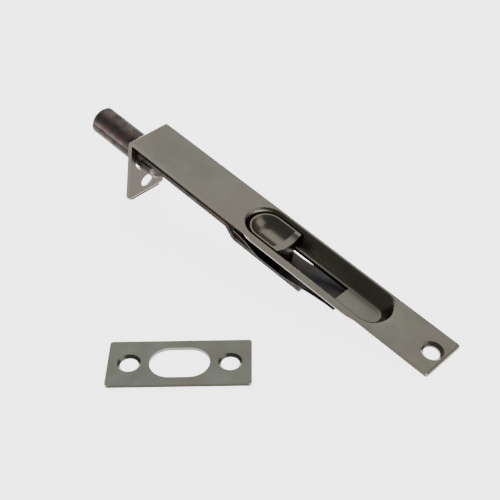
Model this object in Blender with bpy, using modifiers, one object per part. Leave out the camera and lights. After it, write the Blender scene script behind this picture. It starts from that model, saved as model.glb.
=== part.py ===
"""Slide-action flush bolt with a recessed thumb slide, and its strike plate.

The bolt is modelled in its own frame: X runs along the faceplate from the end flange to
the far end, Y across it, Z up out of its face, with the origin on the face at the flange.
That frame is then laid on the table as the bolt rests there, on the flange's lower edge
and the far end of the faceplate. The strike plate lies flat beside it.
"""
import math

import bmesh
import bpy
from mathutils import Matrix, Vector

MM = 0.001

# Faceplate: one 2 mm sheet with a flange bent down at one end and a recess drawn into it
PLATE_LENGTH = 152.4 * MM
PLATE_WIDTH = 19.05 * MM
SHEET = 2.0 * MM
FLANGE_DROP = 33.0 * MM
BEND_RADIUS = 2.6 * MM
PLATE_CORNER = 1.0 * MM
FLANGE_CORNER = 1.8 * MM

# Recess for the thumb, an obround drawn 6 mm deep, with the slide's slot in its floor
RECESS_START = 58.8 * MM
RECESS_END = 129.8 * MM
RECESS_TOP_RADIUS = 8.3 * MM
RECESS_FLOOR_RADIUS = 5.2 * MM
RECESS_DEPTH = 6.0 * MM
RECESS_RIM_FILLET = 1.2 * MM
RECESS_FLOOR_FILLET = 1.6 * MM
RECESS_RIM_OUTSET = 0.7 * MM
RECESS_END_EASE = 1.8 * MM
MOUTH_OVER = 0.05 * MM
CUP_RADIUS = 9.4 * MM
CUP_SIDE_DEPTH = 3.3 * MM
CUP_FLOOR_RADIUS = 5.9 * MM
CUP_FLOOR_DEPTH = 7.7 * MM
CUP_CORNER_FILLET = 1.2 * MM
CUP_FLOOR_FILLET = 5.2 * MM
CHEEK_TAPER = 11.0 * MM
SLOT_START = 72.7 * MM
SLOT_END = 106.8 * MM
SLOT_WIDTH = 7.8 * MM

# Screw holes for countersunk wood screws
SCREW_HOLE_RADIUS = 2.95 * MM
SCREW_SINK_RADIUS = 4.15 * MM
SCREW_SINK_DEPTH = 1.2 * MM
PLATE_HOLE_FROM_START = 147.0 * MM
FLANGE_HOLE_DROP = 25.8 * MM
FLANGE_SINK_RADIUS = 4.8 * MM
FLANGE_SINK_DEPTH = 1.85 * MM

# Bolt rod, which slides through the flange
ROD_RADIUS = 6.0 * MM
ROD_DROP = 12.0 * MM
ROD_REACH = 27.6 * MM
ROD_TAIL = 10.6 * MM
ROD_CHAMFER = 1.0 * MM
ROD_HOLE_CLEARANCE = 0.9 * MM

# Tail bar: flat strip from the rod, set down to pass under the recess
BAR_WIDTH = 11.0 * MM
BAR_THICKNESS = 1.9 * MM
BAR_START = 4.0 * MM
BAR_END = 92.0 * MM
BAR_UPPER_TOP = -8.5 * MM
BAR_LOWER_TOP = -12.2 * MM
JOG_START = 52.9 * MM
JOG_END = 57.4 * MM
BAR_BEND_FILLET = 1.5 * MM

# Friction leaf: bowed spring strip between the bar and the underside of the recess
LEAF_WIDTH = 13.0 * MM
LEAF_THICKNESS = 0.5 * MM
LEAF_START = 57.5 * MM
LEAF_END = 109.0 * MM
LEAF_FLAT_START = 72.0 * MM
LEAF_FLAT_END = 83.0 * MM
LEAF_TIP_TOP = -8.0 * MM

# Thumb slide: scooped slider in the recess, with a shank through the slot
SLIDE_TOP_RADIUS = 6.8 * MM
SLIDE_WAIST_RADIUS = 5.5 * MM
SLIDE_FOOT_RADIUS = 3.3 * MM
SLIDE_TOP = -1.1 * MM
SLIDE_WAIST = -3.4 * MM
SLIDE_NOSE_CENTRE = 68.4 * MM
SLIDE_END = 79.7 * MM
SLIDE_END_SLOPE = 0.9 / 4.6
SCOOP_HALF_WIDTH = 6.2 * MM
SCOOP_DEPTH = 3.5 * MM
SCOOP_END = 77.0 * MM
LIP_SAG = 1.5 * MM
SHANK_START = 73.1 * MM
SHANK_END = 80.4 * MM
SHANK_WIDTH = 6.6 * MM

# Rivets
RIVET_RADIUS = 1.5 * MM
RIVET_HEAD_RADIUS = 2.7 * MM
RIVET_HEAD_HEIGHT = 0.9 * MM
ROD_RIVET_AT = 7.4 * MM
ROD_RIVET_LENGTH = 7.0 * MM
SLIDE_RIVET_LENGTH = 6.4 * MM

# Strike plate
STRIKE_LENGTH = 50.0 * MM
STRIKE_WIDTH = 21.4 * MM
STRIKE_THICKNESS = 1.2 * MM
STRIKE_CORNER = 1.0 * MM
STRIKE_HOLE_SPACING = 35.0 * MM
STRIKE_HOLE_RADIUS = 3.2 * MM
STRIKE_SINK_RADIUS = 4.15 * MM
STRIKE_SINK_DEPTH = 0.95 * MM
STRIKE_SLOT_LENGTH = 21.0 * MM
STRIKE_SLOT_WIDTH = 14.2 * MM
STRIKE_FROM_FLANGE = Vector((82.2 * MM, -61.45 * MM, 0.0))
STRIKE_TURN = math.radians(43.7)

# Gaps between touching pieces
GAP = 0.3 * MM
RIVET_GAP = 0.15 * MM

# The bolt leans on the table: the flange's inner edge and the far end's lower edge touch it
TILT = math.atan2(FLANGE_DROP - SHEET, PLATE_LENGTH - SHEET)
REST_HEIGHT = SHEET * math.sin(TILT) + FLANGE_DROP * math.cos(TILT)

RECESS_CENTRE_A = RECESS_START + RECESS_TOP_RADIUS + RECESS_RIM_OUTSET
RECESS_CENTRE_B = RECESS_END - RECESS_TOP_RADIUS - RECESS_RIM_OUTSET
ARC_STEPS = 6
ROUND_STEPS = 48


def clear_scene():
    for thing in list(bpy.data.objects):
        bpy.data.objects.remove(thing, do_unlink=True)


def make_collection(name):
    group = bpy.data.collections.new(name)
    bpy.context.scene.collection.children.link(group)
    return group


def make_material(name, colour, metallic, roughness):
    finish = bpy.data.materials.new(name)
    finish.use_nodes = True
    shader = finish.node_tree.nodes["Principled BSDF"]
    shader.inputs["Base Color"].default_value = (*colour, 1.0)
    shader.inputs["Metallic"].default_value = metallic
    shader.inputs["Roughness"].default_value = roughness
    return finish


def make_empty(name, group, location, tilt=0.0, turn=0.0, parent=None):
    frame = bpy.data.objects.new(name, None)
    frame.empty_display_size = 0.01
    frame.location = location
    frame.rotation_euler = (0.0, tilt, turn)
    frame.parent = parent
    group.objects.link(frame)
    return frame


def add_object(name, mesh, group, parent, location=(0.0, 0.0, 0.0), rotation=(0.0, 0.0, 0.0)):
    piece = bpy.data.objects.new(name, mesh)
    piece.location = location
    piece.rotation_euler = rotation
    piece.parent = parent
    group.objects.link(piece)
    return piece


def make_cutter(piece):
    piece.hide_render = True
    piece.display_type = "WIRE"
    return piece


def boolean(piece, tool, operation="DIFFERENCE"):
    step = piece.modifiers.new(operation.title() + "_" + tool.name, "BOOLEAN")
    step.operation = operation
    step.solver = "EXACT"
    step.object = tool


def smooth(mesh, degrees=35.0):
    mesh.shade_smooth()
    mesh.set_sharp_from_angle(angle=math.radians(degrees))


def mesh_from(bm, name):
    bmesh.ops.recalc_face_normals(bm, faces=bm.faces)
    mesh = bpy.data.meshes.new(name)
    bm.to_mesh(mesh)
    bm.free()
    return mesh


def arc(centre, radius, start_deg, end_deg, steps=ARC_STEPS):
    """Points along an arc in the outline's plane, both ends included."""
    points = []
    for i in range(steps + 1):
        a = math.radians(start_deg + (end_deg - start_deg) * i / steps)
        points.append((centre[0] + radius * math.cos(a), centre[1] + radius * math.sin(a)))
    return points


def rounded_path(corners, radii, steps=ARC_STEPS):
    """An open path through the corners, each inner corner rounded to its own radius."""
    points = [tuple(corners[0])]
    for before, corner, after, radius in zip(corners, corners[1:], corners[2:], radii):
        c = Vector(corner)
        u = (Vector(before) - c).normalized()
        v = (Vector(after) - c).normalized()
        half = u.angle(v) / 2
        centre = c + (u + v).normalized() * radius / math.sin(half)
        first = c + u * radius / math.tan(half) - centre
        sweep = first.angle_signed(c + v * radius / math.tan(half) - centre)
        for i in range(steps + 1):
            turned = Matrix.Rotation(-sweep * i / steps, 2) @ first
            points.append(tuple(centre + turned))
    points.append(tuple(corners[-1]))
    return points


def flat_outline_mesh(name, points, half_thickness):
    """A filled flat outline given its thickness, as a welded mesh around the curve's plane."""
    curve = bpy.data.curves.new(name, "CURVE")
    curve.dimensions = "2D"
    curve.fill_mode = "BOTH"
    curve.extrude = half_thickness
    spline = curve.splines.new("POLY")
    spline.points.add(len(points) - 1)
    for knot, (x, y) in zip(spline.points, points):
        knot.co = (x, y, 0.0, 1.0)
    spline.use_cyclic_u = True
    guide = bpy.data.objects.new(name, curve)
    bpy.context.scene.collection.objects.link(guide)
    graph = bpy.context.evaluated_depsgraph_get()
    mesh = bpy.data.meshes.new_from_object(guide.evaluated_get(graph))
    bpy.data.objects.remove(guide, do_unlink=True)
    bpy.data.curves.remove(curve)
    bm = bmesh.new()
    bm.from_mesh(mesh)
    bpy.data.meshes.remove(mesh)
    bmesh.ops.remove_doubles(bm, verts=bm.verts, dist=1e-6)
    return mesh_from(bm, name)


def turned_object(name, profile, group, parent, location, rotation):
    """A turned piece: the profile, listed down its outer side, is spun about local Z."""
    mesh = bpy.data.meshes.new(name)
    points = [(r, 0.0, z) for r, z in profile]
    edges = [(i, i + 1) for i in range(len(points) - 1)]
    mesh.from_pydata(points, edges, [])
    piece = add_object(name, mesh, group, parent, location, rotation)
    spin = piece.modifiers.new("Turn", "SCREW")
    spin.steps = ROUND_STEPS
    spin.render_steps = ROUND_STEPS
    spin.use_merge_vertices = True
    spin.merge_threshold = 0.000005
    spin.use_smooth_shade = True
    return piece


def obround_ring(bm, centre_a, centre_b, radius, z, half_steps=18):
    """One level of an obround: two half circles joined by straight sides."""
    ring = []
    for centre, start in ((centre_b, -90.0), (centre_a, 90.0)):
        for x, y in arc((centre, 0.0), radius, start, start + 180.0, half_steps):
            ring.append(bm.verts.new((x, y, z)))
    return ring


def obround_mesh(name, centre_a, centre_b, levels, ease=lambda z: 0.0):
    """A solid lofted through obrounds of the given (radius, height) levels.

    ease(z) draws the far centre of a level in, which leans that end of the solid.
    """
    bm = bmesh.new()
    rings = [obround_ring(bm, centre_a, centre_b - ease(z), radius, z) for radius, z in levels]
    for low, high in zip(rings, rings[1:]):
        for i in range(len(low)):
            j = (i + 1) % len(low)
            bm.faces.new((low[i], low[j], high[j], high[i]))
    bm.faces.new(rings[0])
    bm.faces.new(rings[-1])
    return mesh_from(bm, name)


def box_mesh(name, low, high):
    bm = bmesh.new()
    bmesh.ops.create_cube(bm, size=1.0)
    low, high = Vector(low), Vector(high)
    bmesh.ops.scale(bm, vec=high - low, verts=bm.verts)
    bmesh.ops.translate(bm, vec=(low + high) / 2, verts=bm.verts)
    return mesh_from(bm, name)


def cylinder_mesh(name, radius, low, high):
    bm = bmesh.new()
    bmesh.ops.create_cone(
        bm, cap_ends=True, segments=ROUND_STEPS, radius1=radius, radius2=radius, depth=high - low
    )
    bmesh.ops.translate(bm, vec=(0.0, 0.0, (low + high) / 2), verts=bm.verts)
    return mesh_from(bm, name)


def screw_hole(name, group, parent, location, rotation, radius, sink_radius, sink_depth):
    """A countersunk hole: its wide mouth is at local Z = 0, opening towards +Z."""
    over = 1.0 * MM
    slope = (sink_radius - radius) / sink_depth
    profile = (
        (0.0, over),
        (sink_radius + slope * over, over),
        (radius, -sink_depth),
        (radius, -SHEET - over),
        (0.0, -SHEET - over),
    )
    return make_cutter(turned_object(name, profile, group, parent, location, rotation))


def round_corner_edges(mesh, is_corner, radius):
    """Rounds the short edges through the sheet at the corners that is_corner picks."""
    bm = bmesh.new()
    bm.from_mesh(mesh)
    picked = [e for e in bm.edges if is_corner(e.verts[0].co) and is_corner(e.verts[1].co)]
    bmesh.ops.bevel(
        bm, geom=picked, offset=radius, segments=5, profile=0.5, affect="EDGES", material=-1
    )
    bm.to_mesh(mesh)
    bm.free()


def faceplate_mesh():
    """The bent sheet: its side outline in XZ, as wide as the plate."""
    inner = BEND_RADIUS - SHEET
    bend = (BEND_RADIUS, -BEND_RADIUS)
    outline = [(PLATE_LENGTH, 0.0)]
    outline += arc(bend, BEND_RADIUS, 90.0, 180.0)
    outline += [(0.0, -FLANGE_DROP), (SHEET, -FLANGE_DROP)]
    outline += arc(bend, inner, 180.0, 90.0)
    outline += [(PLATE_LENGTH, -SHEET)]
    mesh = flat_outline_mesh("faceplate", outline, PLATE_WIDTH / 2)
    mesh.transform(Matrix.Rotation(math.pi / 2, 4, "X"))
    near = 1e-6
    side = PLATE_WIDTH / 2 - near
    round_corner_edges(
        mesh, lambda co: co.x > PLATE_LENGTH - near and abs(co.y) > side, PLATE_CORNER
    )
    round_corner_edges(
        mesh, lambda co: co.z < near - FLANGE_DROP and abs(co.y) > side, FLANGE_CORNER
    )
    return mesh


def recess_levels():
    """The recess's inner wall from just above the face down to its floor."""
    corners = (
        (RECESS_TOP_RADIUS + RECESS_RIM_OUTSET + 1.0 * MM, MOUTH_OVER),
        (RECESS_TOP_RADIUS, MOUTH_OVER),
        (RECESS_FLOOR_RADIUS, -RECESS_DEPTH),
        (RECESS_FLOOR_RADIUS - 4.0 * MM, -RECESS_DEPTH),
    )
    wall = rounded_path(corners, (RECESS_RIM_FILLET, RECESS_FLOOR_FILLET))
    mouth = (wall[1][0], 1.0 * MM)
    return [mouth] + wall[1:]


def recess_end_ease(z):
    """How far the recess's far end leans in: quickly below the face, then no more."""
    depth = min(max(-z / (1.6 * MM), 0.0), 1.0)
    return RECESS_END_EASE * depth * (2.0 - depth)


def cup_levels():
    """The outside of the drawn cup, from inside the sheet down to its underside."""
    corners = (
        (RECESS_TOP_RADIUS + 0.6 * MM, -SHEET / 2),
        (CUP_FLOOR_RADIUS, -CUP_FLOOR_DEPTH),
        (CUP_FLOOR_RADIUS - 4.6 * MM, -CUP_FLOOR_DEPTH),
    )
    return rounded_path(corners, (CUP_FLOOR_FILLET,))


def cheek_levels():
    """The sheet beside the recess, which the drawing has pulled down along both edges."""
    corners = (
        (CUP_RADIUS, -SHEET / 2),
        (CUP_RADIUS, -CUP_SIDE_DEPTH),
        (CUP_RADIUS - 1.0 * MM, -CUP_SIDE_DEPTH - 0.9 * MM),
        (CUP_RADIUS - 4.4 * MM, -CUP_SIDE_DEPTH - 1.3 * MM),
    )
    return rounded_path(corners, (CUP_CORNER_FILLET, CUP_CORNER_FILLET / 2), 4)


def cheek_end_ease(z):
    """The cheeks run out gradually towards the recess's far end."""
    return CHEEK_TAPER * max(-z - SHEET, 0.0) / CUP_SIDE_DEPTH


def build_faceplate(group, tools, frame, finish):
    plate = add_object("faceplate", faceplate_mesh(), group, frame)
    cup_end = RECESS_CENTRE_B - RECESS_END_EASE
    cup = obround_mesh("cup_body", RECESS_CENTRE_A, cup_end, cup_levels())
    boolean(plate, make_cutter(add_object("cup_body", cup, tools, frame)), "UNION")
    cheeks = obround_mesh(
        "cup_cheeks", RECESS_CENTRE_A, cup_end, cheek_levels(), cheek_end_ease
    )
    boolean(plate, make_cutter(add_object("cup_cheeks", cheeks, tools, frame)), "UNION")
    hollow = obround_mesh(
        "recess_hollow", RECESS_CENTRE_A, RECESS_CENTRE_B, recess_levels(), recess_end_ease
    )
    boolean(plate, make_cutter(add_object("recess_hollow", hollow, tools, frame)))
    half_slot = SLOT_WIDTH / 2
    slot = box_mesh(
        "slide_slot", (SLOT_START, -half_slot, -10.0 * MM), (SLOT_END, half_slot, -4.0 * MM)
    )
    boolean(plate, make_cutter(add_object("slide_slot", slot, tools, frame)))
    rod_hole = cylinder_mesh("rod_hole", ROD_RADIUS + ROD_HOLE_CLEARANCE, -1.0 * MM, 3.0 * MM)
    across = (0.0, math.pi / 2, 0.0)
    boolean(
        plate,
        make_cutter(add_object("rod_hole", rod_hole, tools, frame, (0.0, 0.0, -ROD_DROP), across)),
    )
    sizes = (SCREW_HOLE_RADIUS, SCREW_SINK_RADIUS, SCREW_SINK_DEPTH)
    plate_at = (PLATE_HOLE_FROM_START, 0.0, 0.0)
    boolean(plate, screw_hole("plate_screw_hole", tools, frame, plate_at, (0.0, 0.0, 0.0), *sizes))
    flange_at = (0.0, 0.0, -FLANGE_HOLE_DROP)
    outward = (0.0, -math.pi / 2, 0.0)
    sizes = (SCREW_HOLE_RADIUS, FLANGE_SINK_RADIUS, FLANGE_SINK_DEPTH)
    boolean(plate, screw_hole("flange_screw_hole", tools, frame, flange_at, outward, *sizes))
    plate.data.materials.append(finish)
    smooth(plate.data)
    return plate


def build_rod(group, tools, axis, finish):
    """The round bolt, milled flat at its tail to take the bar. Its origin is on its axis."""
    tip = -ROD_REACH
    profile = (
        (0.0, ROD_TAIL),
        (ROD_RADIUS - ROD_CHAMFER, ROD_TAIL),
        (ROD_RADIUS, ROD_TAIL - ROD_CHAMFER),
        (ROD_RADIUS, tip + ROD_CHAMFER),
        (ROD_RADIUS - ROD_CHAMFER, tip),
        (0.0, tip),
    )
    rod = turned_object(
        "bolt_rod", profile, group, axis, (0.0, 0.0, 0.0), (0.0, math.pi / 2, 0.0)
    )
    bar_underside = BAR_UPPER_TOP - BAR_THICKNESS + ROD_DROP
    flat = box_mesh(
        "rod_flat",
        (BAR_START - GAP, -10.0 * MM, bar_underside - GAP),
        (20.0 * MM, 10.0 * MM, 10.0 * MM),
    )
    boolean(rod, make_cutter(add_object("rod_flat", flat, tools, axis)))
    hole = cylinder_mesh("rod_rivet_hole", RIVET_RADIUS + RIVET_GAP, -4.4 * MM, 6.0 * MM)
    at = (ROD_RIVET_AT, 0.0, 0.0)
    boolean(rod, make_cutter(add_object("rod_rivet_hole", hole, tools, axis, at)))
    rod.data.materials.append(finish)
    return rod


def strip_outline(path, thickness):
    """The outline of a strip whose top face follows the path."""
    lower = []
    for i, point in enumerate(path):
        before = Vector(path[max(i - 1, 0)])
        after = Vector(path[min(i + 1, len(path) - 1)])
        along = (after - before).normalized()
        down = Vector((along.y, -along.x))
        lower.append(tuple(Vector(point) + down * thickness))
    return list(path) + lower[::-1]


def strip_mesh(name, path, thickness, width):
    mesh = flat_outline_mesh(name, strip_outline(path, thickness), width / 2)
    mesh.transform(Matrix.Rotation(math.pi / 2, 4, "X"))
    return mesh


def rivet_hole(name, tools, parent, x):
    hole = cylinder_mesh(name, RIVET_RADIUS + RIVET_GAP, -20.0 * MM, 8.0 * MM)
    return make_cutter(add_object(name, hole, tools, parent, (x, 0.0, 0.0)))


def build_bar(group, tools, axis, finish):
    upper = BAR_UPPER_TOP + ROD_DROP
    lower = BAR_LOWER_TOP + ROD_DROP
    corners = ((BAR_START, upper), (JOG_START, upper), (JOG_END, lower), (BAR_END, lower))
    path = rounded_path(corners, (BAR_BEND_FILLET + BAR_THICKNESS, BAR_BEND_FILLET))
    bar = add_object("tail_bar", strip_mesh("tail_bar", path, BAR_THICKNESS, BAR_WIDTH), group, axis)
    boolean(bar, rivet_hole("bar_rod_hole", tools, axis, ROD_RIVET_AT))
    boolean(bar, rivet_hole("bar_slide_hole", tools, axis, (SHANK_START + SHANK_END) / 2))
    bar.data.materials.append(finish)
    smooth(bar.data)
    return bar


def bow(start, end, low, high, steps=16):
    """A bowed run of the leaf, level at its start and rising to its tip at the end."""
    points = []
    for i in range(steps + 1):
        share = i / steps
        rise = math.sin(share * math.pi / 2) ** 1.35
        points.append((start + (end - start) * share, low + (high - low) * rise))
    return points


def build_leaf(group, tools, axis, finish):
    tip = LEAF_TIP_TOP + ROD_DROP
    flat = BAR_LOWER_TOP + ROD_DROP + GAP + LEAF_THICKNESS
    path = bow(LEAF_FLAT_START, LEAF_START, flat, tip)[::-1]
    path += bow(LEAF_FLAT_END, LEAF_END, flat, tip)
    mesh = strip_mesh("friction_leaf", path, LEAF_THICKNESS, LEAF_WIDTH)
    leaf = add_object("friction_leaf", mesh, group, axis)
    boolean(leaf, rivet_hole("leaf_hole", tools, axis, (SHANK_START + SHANK_END) / 2))
    leaf.data.materials.append(finish)
    smooth(leaf.data)
    return leaf


def scoop_mesh(name):
    """The thumb's hollow: a round-ended trough with a ball nose, square at the lip."""
    rise = SCOOP_DEPTH
    radius = (SCOOP_HALF_WIDTH ** 2 + rise ** 2) / (2 * rise)
    centre_z = SLIDE_TOP - rise + radius
    nose_x = SLIDE_NOSE_CENTRE
    bm = bmesh.new()
    bmesh.ops.create_uvsphere(bm, u_segments=ROUND_STEPS, v_segments=24, radius=radius)
    bmesh.ops.rotate(bm, matrix=Matrix.Rotation(math.pi / 2, 3, "Y"), verts=bm.verts)
    bmesh.ops.bisect_plane(
        bm,
        geom=bm.verts[:] + bm.edges[:] + bm.faces[:],
        plane_co=(0.0, 0.0, 0.0),
        plane_no=(1.0, 0.0, 0.0),
        clear_outer=True,
    )
    rim = [e for e in bm.edges if e.is_boundary]
    grown = bmesh.ops.extrude_edge_only(bm, edges=rim)
    new_verts = [v for v in grown["geom"] if isinstance(v, bmesh.types.BMVert)]
    bmesh.ops.translate(bm, vec=(SCOOP_END - nose_x, 0.0, 0.0), verts=new_verts)
    bmesh.ops.holes_fill(bm, edges=[e for e in bm.edges if e.is_boundary])
    bmesh.ops.translate(bm, vec=(nose_x, 0.0, centre_z), verts=bm.verts)
    return mesh_from(bm, name)


def slide_mesh():
    """The slider's body: round-nosed and tapered like the recess, cut square at the lip."""
    foot = -RECESS_DEPTH + GAP
    levels = (
        (SLIDE_FOOT_RADIUS, foot),
        (SLIDE_WAIST_RADIUS, SLIDE_WAIST),
        (SLIDE_TOP_RADIUS, SLIDE_TOP),
    )
    body = obround_mesh("thumb_slide", SLIDE_NOSE_CENTRE, SLIDE_NOSE_CENTRE + 30.0 * MM, levels)
    bm = bmesh.new()
    bm.from_mesh(body)
    bmesh.ops.bisect_plane(
        bm,
        geom=bm.verts[:] + bm.edges[:] + bm.faces[:],
        plane_co=(SLIDE_END, 0.0, SLIDE_TOP),
        plane_no=(1.0, 0.0, SLIDE_END_SLOPE),
        clear_outer=True,
    )
    bmesh.ops.holes_fill(bm, edges=[e for e in bm.edges if e.is_boundary])
    bmesh.ops.recalc_face_normals(bm, faces=bm.faces)
    bm.to_mesh(body)
    bm.free()
    return body


def build_slide(group, tools, axis, finish):
    lift = Vector((0.0, 0.0, ROD_DROP))
    slide = add_object("thumb_slide", slide_mesh(), group, axis, lift)
    shank_foot = BAR_LOWER_TOP + GAP + LEAF_THICKNESS + GAP
    shank = box_mesh(
        "slide_shank",
        (SHANK_START, -SHANK_WIDTH / 2, shank_foot),
        (SHANK_END, SHANK_WIDTH / 2, SLIDE_TOP - SCOOP_DEPTH - 0.4 * MM),
    )
    boolean(slide, make_cutter(add_object("slide_shank", shank, tools, axis, lift)), "UNION")
    boolean(slide, make_cutter(add_object("thumb_scoop", scoop_mesh("thumb_scoop"), tools, axis, lift)))
    half = SCOOP_HALF_WIDTH
    lip_radius = (half ** 2 + LIP_SAG ** 2) / (2 * LIP_SAG)
    dip = cylinder_mesh("lip_dip", lip_radius, SCOOP_END - 0.02 * MM, SLIDE_END + 2.0 * MM)
    at = Vector((0.0, 0.0, SLIDE_TOP - LIP_SAG + lip_radius)) + lift
    dip_tool = add_object("lip_dip", dip, tools, axis, at, (0.0, math.pi / 2, 0.0))
    boolean(slide, make_cutter(dip_tool))
    hole = cylinder_mesh("slide_rivet_hole", RIVET_RADIUS + RIVET_GAP, -14.0 * MM, -7.6 * MM)
    hole_at = Vector(((SHANK_START + SHANK_END) / 2, 0.0, 0.0)) + lift
    boolean(slide, make_cutter(add_object("slide_rivet_hole", hole, tools, axis, hole_at)))
    slide.data.materials.append(finish)
    smooth(slide.data)
    return slide


def build_rivet(name, group, parent, location, length, flipped, finish):
    """A round-head rivet: the head's underside is at local Z = 0 and the shank hangs below."""
    dome = arc((0.0, 0.0), 1.0, 90.0, 0.0)
    profile = [(RIVET_HEAD_RADIUS * c, RIVET_HEAD_HEIGHT * s) for c, s in dome]
    profile[0] = (0.0, RIVET_HEAD_HEIGHT)
    profile += [(RIVET_RADIUS, 0.0), (RIVET_RADIUS, -length), (0.0, -length)]
    turn = (math.pi, 0.0, 0.0) if flipped else (0.0, 0.0, 0.0)
    rivet = turned_object(name, profile, group, parent, location, turn)
    rivet.data.materials.append(finish)
    return rivet


def rounded_rectangle(length, width, radius):
    x, y = length / 2 - radius, width / 2 - radius
    outline = []
    for cx, cy, start in ((x, y, 0.0), (-x, y, 90.0), (-x, -y, 180.0), (x, -y, 270.0)):
        outline += arc((cx, cy), radius, start, start + 90.0)
    return outline


def build_strike(group, tools, frame, finish):
    outline = rounded_rectangle(STRIKE_LENGTH, STRIKE_WIDTH, STRIKE_CORNER)
    mesh = flat_outline_mesh("strike_plate", outline, STRIKE_THICKNESS / 2)
    mesh.transform(Matrix.Translation((0.0, 0.0, STRIKE_THICKNESS / 2)))
    strike = add_object("strike_plate", mesh, group, frame)
    radius = STRIKE_SLOT_WIDTH / 2
    reach = STRIKE_SLOT_LENGTH / 2 - radius
    levels = ((radius, -1.0 * MM), (radius, STRIKE_THICKNESS + 1.0 * MM))
    slot = obround_mesh("strike_slot", -reach, reach, levels)
    boolean(strike, make_cutter(add_object("strike_slot", slot, tools, frame)))
    sizes = (STRIKE_HOLE_RADIUS, STRIKE_SINK_RADIUS, STRIKE_SINK_DEPTH)
    for side, name in ((-1, "strike_hole_left"), (1, "strike_hole_right")):
        at = (side * STRIKE_HOLE_SPACING / 2, 0.0, STRIKE_THICKNESS)
        boolean(strike, screw_hole(name, tools, frame, at, (0.0, 0.0, 0.0), *sizes))
    strike.data.materials.append(finish)
    smooth(strike.data)
    return strike


def centre_over_origin(group, frames):
    """Moves the two frames so that the whole group's box is centred over the origin."""
    bpy.context.view_layer.update()
    graph = bpy.context.evaluated_depsgraph_get()
    xs, ys = [], []
    for piece in group.objects:
        if piece.type != "MESH":
            continue
        shape = piece.evaluated_get(graph)
        for vertex in shape.to_mesh().vertices:
            place = piece.matrix_world @ vertex.co
            xs.append(place.x)
            ys.append(place.y)
    shift = Vector(((min(xs) + max(xs)) / 2, (min(ys) + max(ys)) / 2, 0.0))
    for frame in frames:
        frame.location -= shift
    bpy.context.view_layer.update()
    return shift


def main():
    clear_scene()
    group = make_collection("flush_bolt")
    tools = make_collection("cutters")
    nickel = make_material("antique_nickel", (0.22, 0.21, 0.18), 1.0, 0.34)
    bronze = make_material("dark_bronze", (0.13, 0.09, 0.075), 1.0, 0.42)
    spring_steel = make_material("spring_steel", (0.08, 0.08, 0.085), 1.0, 0.35)

    bolt_frame = make_empty("bolt_frame", group, (0.0, 0.0, REST_HEIGHT), tilt=TILT)
    bolt_axis = make_empty("bolt_axis", group, (0.0, 0.0, -ROD_DROP), parent=bolt_frame)
    strike_frame = make_empty("strike_frame", group, STRIKE_FROM_FLANGE, turn=STRIKE_TURN)

    build_faceplate(group, tools, bolt_frame, nickel)
    build_rod(group, tools, bolt_axis, bronze)
    build_bar(group, tools, bolt_axis, bronze)
    build_leaf(group, tools, bolt_axis, spring_steel)
    build_slide(group, tools, bolt_axis, nickel)
    rod_head = (ROD_RIVET_AT, 0.0, BAR_UPPER_TOP + ROD_DROP + RIVET_GAP)
    build_rivet("rod_rivet", group, bolt_axis, rod_head, ROD_RIVET_LENGTH, False, bronze)
    under_bar = BAR_LOWER_TOP - BAR_THICKNESS + ROD_DROP - RIVET_GAP
    slide_head = ((SHANK_START + SHANK_END) / 2, 0.0, under_bar)
    build_rivet("slide_rivet", group, bolt_axis, slide_head, SLIDE_RIVET_LENGTH, True, bronze)
    build_strike(group, tools, strike_frame, nickel)
    shift = centre_over_origin(group, (bolt_frame, strike_frame))
    print("frame shift", tuple(round(v / MM, 4) for v in shift), "tilt", math.degrees(TILT))


main()
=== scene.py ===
# %% [markdown]
# # A flush bolt and its strike plate
# A flush bolt is let into the edge of a door. Its narrow faceplate is pressed from one sheet
# of steel, with a flange bent down at one end and a thumb recess drawn into its face. Here
# the set lies on a table, resting on the flange's edge and the far end of the faceplate. The
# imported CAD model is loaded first, as a fixed frame that says where everything goes.

# %% Load the frame
import math

import bmesh
import bpy
from mathutils import Matrix, Vector


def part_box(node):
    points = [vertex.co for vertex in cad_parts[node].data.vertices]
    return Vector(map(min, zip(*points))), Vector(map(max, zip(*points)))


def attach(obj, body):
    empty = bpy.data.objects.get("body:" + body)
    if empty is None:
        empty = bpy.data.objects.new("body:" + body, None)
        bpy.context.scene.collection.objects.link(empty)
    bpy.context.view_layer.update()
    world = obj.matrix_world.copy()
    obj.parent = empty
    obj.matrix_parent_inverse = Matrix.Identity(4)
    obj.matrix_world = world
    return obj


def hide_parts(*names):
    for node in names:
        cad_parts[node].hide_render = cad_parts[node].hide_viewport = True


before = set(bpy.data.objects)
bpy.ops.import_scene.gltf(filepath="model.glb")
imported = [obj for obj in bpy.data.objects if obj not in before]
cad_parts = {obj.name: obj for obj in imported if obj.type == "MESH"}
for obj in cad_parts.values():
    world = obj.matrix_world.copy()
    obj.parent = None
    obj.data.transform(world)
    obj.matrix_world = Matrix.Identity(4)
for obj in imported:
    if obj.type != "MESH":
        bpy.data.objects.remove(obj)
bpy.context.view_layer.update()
MM = 0.001

# %% [markdown]
# ## How the bolt leans
# The bolt leans on the table by the angle whose tangent is its flange's depth over its
# plate's length, each less the sheet's thickness. The camera is placed from the corner where
# the plate's face meets the flange's outer face, so that corner is worked out here from the
# faceplate's box. The lean is used again to turn the finishes along the plate.

# %% The lean
PLATE_LENGTH = 152.4 * MM
SHEET = 2.0 * MM
FLANGE_DROP = 33.0 * MM
LEAN = math.atan2(FLANGE_DROP - SHEET, PLATE_LENGTH - SHEET)
plate_low, plate_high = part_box("faceplate")
FLANGE_TOP = Vector((
    plate_high.x - PLATE_LENGTH * math.cos(LEAN),
    (plate_low.y + plate_high.y) / 2,
    SHEET * math.sin(LEAN) + FLANGE_DROP * math.cos(LEAN),
))
print("lean", round(math.degrees(LEAN), 3), "flange top", [round(v / MM, 3) for v in FLANGE_TOP])

# %% [markdown]
# ## Camera
# The camera looks down along the set from the strike plate's side, through a short telephoto
# lens, so the plates keep their proportions. It is rolled very slightly.

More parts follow.
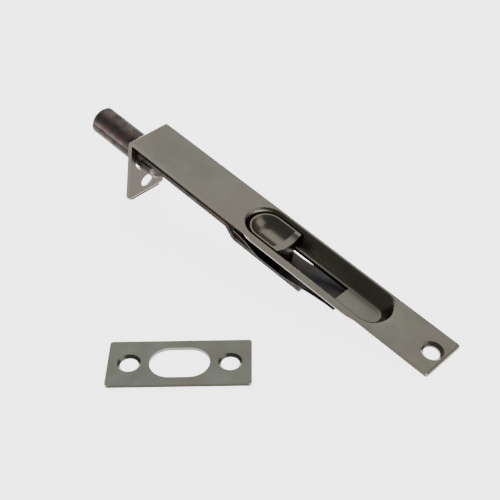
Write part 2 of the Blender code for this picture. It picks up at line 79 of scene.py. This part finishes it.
# %% Camera
CAMERA_FROM_FLANGE = Vector((275.2 * MM, -219.0 * MM, 0.0))
CAMERA_HEIGHT = 244.2 * MM
AIM_FROM_FLANGE = Vector((56.1 * MM, 1.05 * MM, 0.0))
CAMERA_ROLL = math.radians(-1.75)
LENS_MM = 72.0
SENSOR_MM = 36.0

on_table = Vector((FLANGE_TOP.x, FLANGE_TOP.y, 0.0))
camera_at = on_table + CAMERA_FROM_FLANGE + Vector((0.0, 0.0, CAMERA_HEIGHT))
aim = on_table + AIM_FROM_FLANGE
lens = bpy.data.cameras.new("bench_camera")
lens.lens = LENS_MM
lens.sensor_width = SENSOR_MM
camera = bpy.data.objects.new("bench_camera", lens)
camera.location = camera_at
camera.rotation_mode = "QUATERNION"
roll = Matrix.Rotation(CAMERA_ROLL, 3, "Z").to_quaternion()
camera.rotation_quaternion = (aim - camera_at).to_track_quat("-Z", "Y") @ roll
bpy.context.scene.collection.objects.link(camera)
bpy.context.scene.camera = camera
print("camera", [round(v / MM, 1) for v in camera_at])

# %% [markdown]
# ## Floor and light
# Dark plated metal shows what it reflects more than its own colour. The set lies on a light
# table, a pale floor with a glow of its own, which leaves almost no shadow and brightens the
# sides of each plate. Their faces mirror one broad soft panel behind them. Above and in
# front the room is dim, so the far wall of the recess and the thumb's hollow, which mirror
# that side, stay dark. A weak light fills in from the plate's end.

# %% Floor
FLOOR_HALF_SIDE = 3.0
FLOOR_DROP = 0.2 * MM
FLOOR_COLOUR = (0.93, 0.93, 0.93, 1.0)
FLOOR_GLOW = 3.6


def pale_card():
    card = bpy.data.materials.new("pale_card")
    card.use_nodes = True
    shader = card.node_tree.nodes["Principled BSDF"]
    shader.inputs["Base Color"].default_value = FLOOR_COLOUR
    shader.inputs["Roughness"].default_value = 0.9
    shader.inputs["Specular IOR Level"].default_value = 0.1
    shader.inputs["Emission Color"].default_value = (1.0, 1.0, 1.0, 1.0)
    shader.inputs["Emission Strength"].default_value = FLOOR_GLOW
    return card


bm = bmesh.new()
bmesh.ops.create_grid(bm, x_segments=1, y_segments=1, size=FLOOR_HALF_SIDE)
floor_mesh = bpy.data.meshes.new("floor")
bm.to_mesh(floor_mesh)
bm.free()
floor = bpy.data.objects.new("floor", floor_mesh)
floor.location = (0.0, 0.0, -FLOOR_DROP)
floor_mesh.materials.append(pale_card())
bpy.context.scene.collection.objects.link(floor)
print("floor", [round(side, 3) for side in floor.dimensions], "m, glow", FLOOR_GLOW)

# %% [markdown]
# The panel and the fill are both large squares aimed at the middle of the set, and the room
# itself gives a dim, slightly cool light from everywhere else.

# %% Soft lights
PANEL_SIDE = 1.5
ROOM_COLOUR = (0.9, 0.92, 0.95, 1.0)
ROOM_STRENGTH = 0.22


def soft_light(name, place, watts):
    """A square area light facing the middle of the set."""
    lamp = bpy.data.lights.new(name, "AREA")
    lamp.shape = "SQUARE"
    lamp.size = PANEL_SIDE
    lamp.energy = watts
    holder = bpy.data.objects.new(name, lamp)
    holder.location = place
    toward_set = -Vector(place)
    holder.rotation_euler = toward_set.to_track_quat("-Z", "Y").to_euler()
    bpy.context.scene.collection.objects.link(holder)
    print(name, watts, "W from", round(toward_set.length, 2), "m")


soft_light("back_panel", (-0.5, 0.7, 0.8), 8.5)
soft_light("end_light", (1.3, 0.7, 1.0), 8.0)
surround = bpy.data.worlds.new("dim_room")
surround.use_nodes = True
room = surround.node_tree.nodes["Background"]
room.inputs["Color"].default_value = ROOM_COLOUR
room.inputs["Strength"].default_value = ROOM_STRENGTH
bpy.context.scene.world = surround

# %% [markdown]
# ## What a plated surface is made of
# Antique plating is never one colour: dark stain is left in soft clouds, buffing leaves fine
# lines along the piece, its tint drifts from place to place, and the whole has a slight
# ripple. These effects are shared by every finish, so they are one node group with named
# inputs and each material gives it its own values.

# %% The shared surface group
MIX_A = 6
MIX_B = 7
MIX_RESULT = 2
SQUEEZE_ALONG = (0.04, 1.0, 1.0)
CLOUD_SHARE = 0.6
LINE_SHARE = 0.4
LINE_HEIGHT = 0.25


def make_socket(group, name, kind, direction, value=None):
    socket = group.interface.new_socket(name=name, in_out=direction, socket_type=kind)
    if value is not None:
        socket.default_value = value
    return socket


def stained_surface():
    """Clouds of stain, buffing lines and a ripple, from a position in metres."""
    group = bpy.data.node_groups.new("stained_surface", "ShaderNodeTree")
    make_socket(group, "Position", "NodeSocketVector", "INPUT")
    make_socket(group, "Cloud Scale", "NodeSocketFloat", "INPUT", 120.0)
    make_socket(group, "Line Scale", "NodeSocketFloat", "INPUT", 2500.0)
    make_socket(group, "Tint Scale", "NodeSocketFloat", "INPUT", 45.0)
    make_socket(group, "Clean Color", "NodeSocketColor", "INPUT")
    make_socket(group, "Stain Color", "NodeSocketColor", "INPUT")
    make_socket(group, "Tint Color", "NodeSocketColor", "INPUT")
    make_socket(group, "Rough Low", "NodeSocketFloat", "INPUT", 0.3)
    make_socket(group, "Rough High", "NodeSocketFloat", "INPUT", 0.5)
    make_socket(group, "Color", "NodeSocketColor", "OUTPUT")
    make_socket(group, "Roughness", "NodeSocketFloat", "OUTPUT")
    make_socket(group, "Height", "NodeSocketFloat", "OUTPUT")
    nodes, links = group.nodes, group.links
    entry = nodes.new("NodeGroupInput")
    leave = nodes.new("NodeGroupOutput")

    clouds = nodes.new("ShaderNodeTexNoise")
    clouds.inputs["Detail"].default_value = 5.0
    clouds.inputs["Roughness"].default_value = 0.62
    links.new(entry.outputs["Position"], clouds.inputs["Vector"])
    links.new(entry.outputs["Cloud Scale"], clouds.inputs["Scale"])
    spread = nodes.new("ShaderNodeMapRange")
    spread.inputs["From Min"].default_value = 0.36
    spread.inputs["From Max"].default_value = 0.66
    links.new(clouds.outputs["Fac"], spread.inputs["Value"])

    stain = nodes.new("ShaderNodeMix")
    stain.data_type = "RGBA"
    links.new(spread.outputs["Result"], stain.inputs["Factor"])
    links.new(entry.outputs["Clean Color"], stain.inputs[MIX_A])
    links.new(entry.outputs["Stain Color"], stain.inputs[MIX_B])

    drift = nodes.new("ShaderNodeTexNoise")
    drift.inputs["Detail"].default_value = 4.0
    links.new(entry.outputs["Tint Scale"], drift.inputs["Scale"])
    links.new(entry.outputs["Position"], drift.inputs["Vector"])
    drift_range = nodes.new("ShaderNodeMapRange")
    drift_range.inputs["From Min"].default_value = 0.42
    drift_range.inputs["From Max"].default_value = 0.7
    links.new(drift.outputs["Fac"], drift_range.inputs["Value"])
    tint = nodes.new("ShaderNodeMix")
    tint.data_type = "RGBA"
    links.new(drift_range.outputs["Result"], tint.inputs["Factor"])
    links.new(stain.outputs[MIX_RESULT], tint.inputs[MIX_A])
    links.new(entry.outputs["Tint Color"], tint.inputs[MIX_B])
    links.new(tint.outputs[MIX_RESULT], leave.inputs["Color"])

    stretch = nodes.new("ShaderNodeMapping")
    stretch.inputs["Scale"].default_value = SQUEEZE_ALONG
    links.new(entry.outputs["Position"], stretch.inputs["Vector"])
    lines = nodes.new("ShaderNodeTexNoise")
    lines.inputs["Detail"].default_value = 3.0
    links.new(stretch.outputs["Vector"], lines.inputs["Vector"])
    links.new(entry.outputs["Line Scale"], lines.inputs["Scale"])

    gloss = nodes.new("ShaderNodeMath")
    gloss.operation = "MULTIPLY_ADD"
    gloss.inputs[1].default_value = CLOUD_SHARE
    links.new(spread.outputs["Result"], gloss.inputs[0])
    line_share = nodes.new("ShaderNodeMath")
    line_share.operation = "MULTIPLY"
    line_share.inputs[1].default_value = LINE_SHARE
    links.new(lines.outputs["Fac"], line_share.inputs[0])
    links.new(line_share.outputs["Value"], gloss.inputs[2])
    rough = nodes.new("ShaderNodeMapRange")
    links.new(gloss.outputs["Value"], rough.inputs["Value"])
    links.new(entry.outputs["Rough Low"], rough.inputs["To Min"])
    links.new(entry.outputs["Rough High"], rough.inputs["To Max"])
    links.new(rough.outputs["Result"], leave.inputs["Roughness"])

    height = nodes.new("ShaderNodeMath")
    height.operation = "MULTIPLY_ADD"
    height.inputs[1].default_value = LINE_HEIGHT
    links.new(lines.outputs["Fac"], height.inputs[0])
    links.new(clouds.outputs["Fac"], height.inputs[2])
    links.new(height.outputs["Value"], leave.inputs["Height"])
    return group


SURFACE = stained_surface()
print("surface group with", len(SURFACE.nodes), "nodes")

# %% [markdown]
# ## Three finishes
# The plates and slide are antique nickel, an olive grey. The rod, bar and rivets are brass
# under a dark wash that rubs through to copper. The leaf is blued spring steel. Patterns
# follow Object coordinates, turned by a Mapping node so that the lines run along the piece.
# Handling rubs the edges bright, so each material also reads a wear value that the pieces
# carry on their rounded edges, broken up by a little noise so that no edge is rubbed evenly.
# It also reads a second value on the long sheared sides and the flange, which darkens those
# upright faces with painted shade.

# %% Finishes
EDGE_RUB = 0.6
RUB_PATCH_SCALE = 420.0
BUMP_STRENGTH = 0.35
# Painted shade: the large upright faces are multiplied by this colour.
PAINTED_SHADE_COLOUR = (0.25, 0.235, 0.215)


def worn_edge(nodes, links, position):
    """How far an edge is rubbed through, from 0 to EDGE_RUB."""
    mark = nodes.new("ShaderNodeAttribute")
    mark.attribute_name = "wear"
    patches = nodes.new("ShaderNodeTexNoise")
    patches.inputs["Scale"].default_value = RUB_PATCH_SCALE
    patches.inputs["Detail"].default_value = 3.0
    links.new(position, patches.inputs["Vector"])
    broken = nodes.new("ShaderNodeMapRange")
    broken.inputs["From Min"].default_value = 0.4
    broken.inputs["From Max"].default_value = 0.62
    broken.inputs["To Max"].default_value = EDGE_RUB
    links.new(patches.outputs["Fac"], broken.inputs["Value"])
    both = nodes.new("ShaderNodeMath")
    both.operation = "MULTIPLY"
    links.new(mark.outputs["Fac"], both.inputs[0])
    links.new(broken.outputs["Result"], both.inputs[1])
    return both.outputs["Value"]


def metal_finish(name, colours, worn, rough, scales, ripple_mm, turn):
    """A plated metal. The colours are its clean, stained and tinted plating, and scales
    says how closely the stain's clouds and the tint's drift repeat."""
    clean, stain, tint = colours
    finish = bpy.data.materials.new(name)
    finish.use_nodes = True
    nodes, links = finish.node_tree.nodes, finish.node_tree.links
    shader = nodes["Principled BSDF"]
    shader.inputs["Metallic"].default_value = 1.0
    place = nodes.new("ShaderNodeTexCoord")
    turned = nodes.new("ShaderNodeMapping")
    turned.inputs["Rotation"].default_value = turn
    links.new(place.outputs["Object"], turned.inputs["Vector"])
    surface = nodes.new("ShaderNodeGroup")
    surface.node_tree = SURFACE
    surface.inputs["Cloud Scale"].default_value = scales[0]
    surface.inputs["Tint Scale"].default_value = scales[1]
    surface.inputs["Clean Color"].default_value = (*clean, 1.0)
    surface.inputs["Stain Color"].default_value = (*stain, 1.0)
    surface.inputs["Tint Color"].default_value = (*tint, 1.0)
    surface.inputs["Rough Low"].default_value = rough[0]
    surface.inputs["Rough High"].default_value = rough[1]
    links.new(turned.outputs["Vector"], surface.inputs["Position"])
    rubbed = nodes.new("ShaderNodeMix")
    rubbed.data_type = "RGBA"
    rubbed.inputs[MIX_B].default_value = (*worn, 1.0)
    amount = worn_edge(nodes, links, turned.outputs["Vector"])
    links.new(amount, rubbed.inputs["Factor"])
    # Painted shade: the upright faces marked in the mesh are darkened by a multiply.
    painted_side_shade = nodes.new("ShaderNodeAttribute")
    painted_side_shade.attribute_name = "painted_side_shade"
    side_shade_multiply = nodes.new("ShaderNodeMix")
    side_shade_multiply.data_type = "RGBA"
    side_shade_multiply.blend_type = "MULTIPLY"
    side_shade_multiply.inputs[MIX_B].default_value = (*PAINTED_SHADE_COLOUR, 1.0)
    links.new(painted_side_shade.outputs["Fac"], side_shade_multiply.inputs["Factor"])
    links.new(surface.outputs["Color"], side_shade_multiply.inputs[MIX_A])
    links.new(side_shade_multiply.outputs[MIX_RESULT], rubbed.inputs[MIX_A])
    links.new(rubbed.outputs[MIX_RESULT], shader.inputs["Base Color"])
    links.new(surface.outputs["Roughness"], shader.inputs["Roughness"])
    bump = nodes.new("ShaderNodeBump")
    bump.inputs["Strength"].default_value = BUMP_STRENGTH
    bump.inputs["Distance"].default_value = ripple_mm * MM
    links.new(surface.outputs["Height"], bump.inputs["Height"])
    links.new(bump.outputs["Normal"], shader.inputs["Normal"])
    return finish


ALONG_BOLT = (0.0, -LEAN, 0.0)
STRIKE_TURN = math.radians(43.7)
ALONG_STRIKE = (0.0, 0.0, -STRIKE_TURN)
NICKEL = ((0.165, 0.163, 0.127), (0.138, 0.137, 0.108), (0.170, 0.150, 0.124))
GREEN_NICKEL = ((0.152, 0.159, 0.132), (0.126, 0.134, 0.110), (0.160, 0.146, 0.120))
NICKEL_WORN = (0.32, 0.29, 0.25)
BRONZE = ((0.124, 0.115, 0.108), (0.058, 0.052, 0.049), (0.145, 0.098, 0.078))
BRONZE_WORN = (0.26, 0.15, 0.105)
STEEL = ((0.045, 0.044, 0.045), (0.026, 0.026, 0.028), (0.045, 0.036, 0.032))
STEEL_WORN = (0.16, 0.15, 0.145)
nickel = metal_finish(
    "antique_nickel", NICKEL, NICKEL_WORN, rough=(0.2, 0.34), scales=(90.0, 45.0),
    ripple_mm=0.004, turn=ALONG_BOLT,
)
strike_nickel = metal_finish(
    "strike_nickel", GREEN_NICKEL, NICKEL_WORN, rough=(0.22, 0.36), scales=(90.0, 45.0),
    ripple_mm=0.004, turn=ALONG_STRIKE,
)
bronze = metal_finish(
    "dark_bronze", BRONZE, BRONZE_WORN, rough=(0.46, 0.66), scales=(330.0, 210.0),
    ripple_mm=0.02, turn=ALONG_BOLT,
)
blued = metal_finish(
    "spring_steel", STEEL, STEEL_WORN, rough=(0.25, 0.4), scales=(200.0, 60.0),
    ripple_mm=0.008, turn=ALONG_BOLT,
)
print("finishes", [m.name for m in (nickel, strike_nickel, bronze, blued)])

# %% [markdown]
# ## Edges that catch the light
# A pressed or sawn edge is never perfectly sharp. The CAD solids keep true sizes but have
# razor edges, so each main piece is finished from a copy of its solid: the copy's loose
# triangles are welded, its flat faces are made whole, and a bevel rounds every hard edge.
# Bevelling a copy keeps each hole and fold exactly where the solid has it, and it tells us
# which faces are the rounded edges, so those are the ones marked as worn.

# %% Finish a piece from its solid
SHARP = math.radians(28.0)
WELD = 0.002 * MM
FLAT_WITHIN = math.radians(0.4)
CREASE = math.radians(40.0)
UPRIGHT = 0.3
PAINTED_SHADE_MIN_AREA = 20.0 * MM * MM


def gets_painted_shade(face):
    """The long sheared sides and the flange stand nearly upright, and these faces get painted
    shade.
    """
    return abs(face.normal.z) < UPRIGHT and face.calc_area() > PAINTED_SHADE_MIN_AREA


def eased_piece(node, name, body, finish, rounding):
    """A copy of a solid with its hard edges rounded and marked as worn."""
    bm = bmesh.new()
    bm.from_mesh(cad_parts[node].data)
    bmesh.ops.remove_doubles(bm, verts=bm.verts, dist=WELD)
    bmesh.ops.dissolve_limit(
        bm, angle_limit=FLAT_WITHIN, verts=bm.verts, edges=bm.edges,
        use_dissolve_boundaries=False,
    )
    wear = bm.faces.layers.float.new("wear")
    painted_side_shade = bm.faces.layers.float.new("painted_side_shade")
    hard = [e for e in bm.edges if e.is_manifold and e.calc_face_angle() > SHARP]
    rounded = bmesh.ops.bevel(
        bm, geom=hard, offset=rounding, offset_type="WIDTH", segments=2, profile=0.5,
        affect="EDGES", material=-1, clamp_overlap=True,
    )
    for face in rounded["faces"]:
        face[wear] = 1.0
    # Mark the large upright faces for painted shade.
    for face in bm.faces:
        face[painted_side_shade] = float(gets_painted_shade(face))
    open_edges = sum(1 for e in bm.edges if not e.is_manifold)
    mesh = bpy.data.meshes.new(name)
    bm.to_mesh(mesh)
    bm.free()
    mesh.shade_smooth()
    mesh.set_sharp_from_angle(angle=CREASE)
    mesh.materials.append(finish)
    piece = bpy.data.objects.new(name, mesh)
    bpy.context.scene.collection.objects.link(piece)
    weighted = piece.modifiers.new("Even_Shading", "WEIGHTED_NORMAL")
    weighted.keep_sharp = True
    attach(piece, body)
    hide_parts(node)
    print(name, "faces", len(mesh.polygons), "edges rounded", len(hard), "open", open_edges)


# %% [markdown]
# The last number is how wide each rounded edge is. The strike plate's finish is a little
# greener than the faceplate's.

# %% The main pieces
FIXED, MOVING = "fixed_plates", "bolt"
eased_piece("faceplate", "faceplate_sheet", FIXED, nickel, 0.22 * MM)
eased_piece("strike_plate", "strike_sheet", FIXED, strike_nickel, 0.2 * MM)
eased_piece("thumb_slide", "scooped_slide", MOVING, nickel, 0.16 * MM)
eased_piece("bolt_rod", "round_bolt", MOVING, bronze, 0.2 * MM)
eased_piece("tail_bar", "jogged_bar", MOVING, bronze, 0.14 * MM)

# %% [markdown]
# ## Pieces that keep their solid
# The rivets and the spring leaf are small and mostly hidden, so their solids are shown as
# they are and only take a finish.

# %% The plain pieces
PLAIN = {"rod_rivet": bronze, "slide_rivet": bronze, "friction_leaf": blued}
for node, finish in PLAIN.items():
    cad_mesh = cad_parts[node].data
    cad_mesh.materials.clear()
    cad_mesh.materials.append(finish)
    print(node, "in", finish.name, "faces", len(cad_mesh.polygons))
